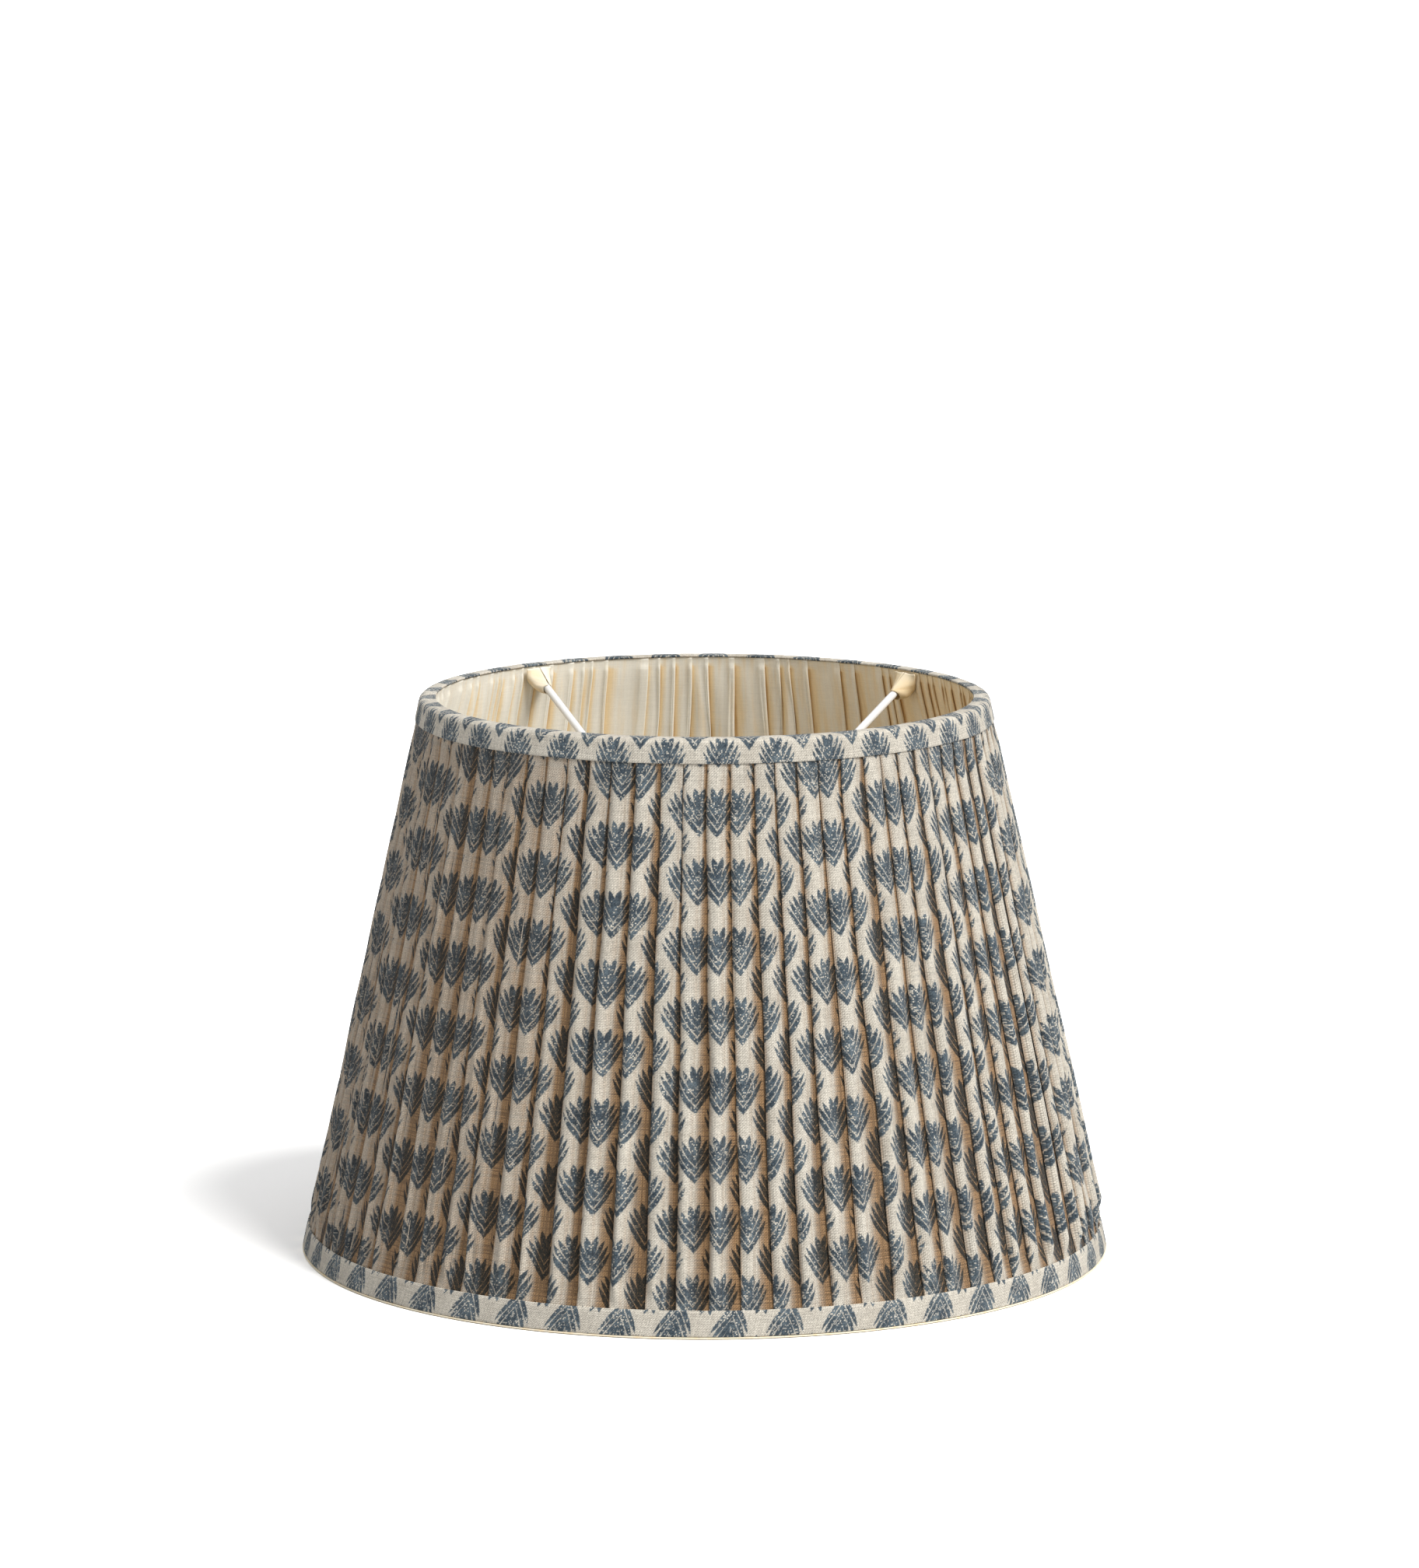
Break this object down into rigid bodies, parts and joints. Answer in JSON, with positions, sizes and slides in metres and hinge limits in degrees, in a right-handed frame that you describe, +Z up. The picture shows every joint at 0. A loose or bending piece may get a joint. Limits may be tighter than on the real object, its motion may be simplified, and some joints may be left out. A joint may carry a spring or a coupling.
{
  "type": "lamp shade",
  "caption": "Rigid empire lamp shade with a knife-pleated printed linen cover, gathered cotton lining, bound rims and a sunk fitter ring on sloping wire arms.",
  "frame": {"origin": "on the shade's axis, in the plane of its bottom edge, where it stands", "axes": "+Z up along the shade's axis to the top rim; -Y is the front; +X to the right seen from the front"},
  "size_m": [0.419, 0.419, 0.29],
  "materials": {
    "white_coat": "white powder coat, semi-gloss",
    "cotton_tape": "matt woven cotton tape",
    "printed_linen": "open-weave natural linen with a blue-grey block print",
    "cream_cotton": "fine cream cotton voile"
  },
  "bodies": {
    "root": {"top_ring": "white_coat", "bottom_ring": "white_coat", "fitter_ring": "white_coat", "rib_1": "white_coat", "rib_2": "white_coat", "rib_3": "white_coat", "rib_4": "white_coat", "rib_5": "white_coat", "rib_6": "white_coat", "rib_7": "white_coat", "rib_8": "white_coat", "fitter_arm_1": "white_coat", "fitter_arm_2": "white_coat", "fitter_arm_3": "white_coat", "fitter_arm_4": "white_coat", "top_ring_tape": "cotton_tape", "bottom_ring_tape": "cotton_tape", "outer_cover": "printed_linen", "top_binding": "printed_linen", "bottom_binding": "printed_linen", "lining": "cream_cotton", "arm_patch_1": "cream_cotton", "arm_patch_2": "cream_cotton", "arm_patch_3": "cream_cotton", "arm_patch_4": "cream_cotton"}
  },
  "joints": []
}
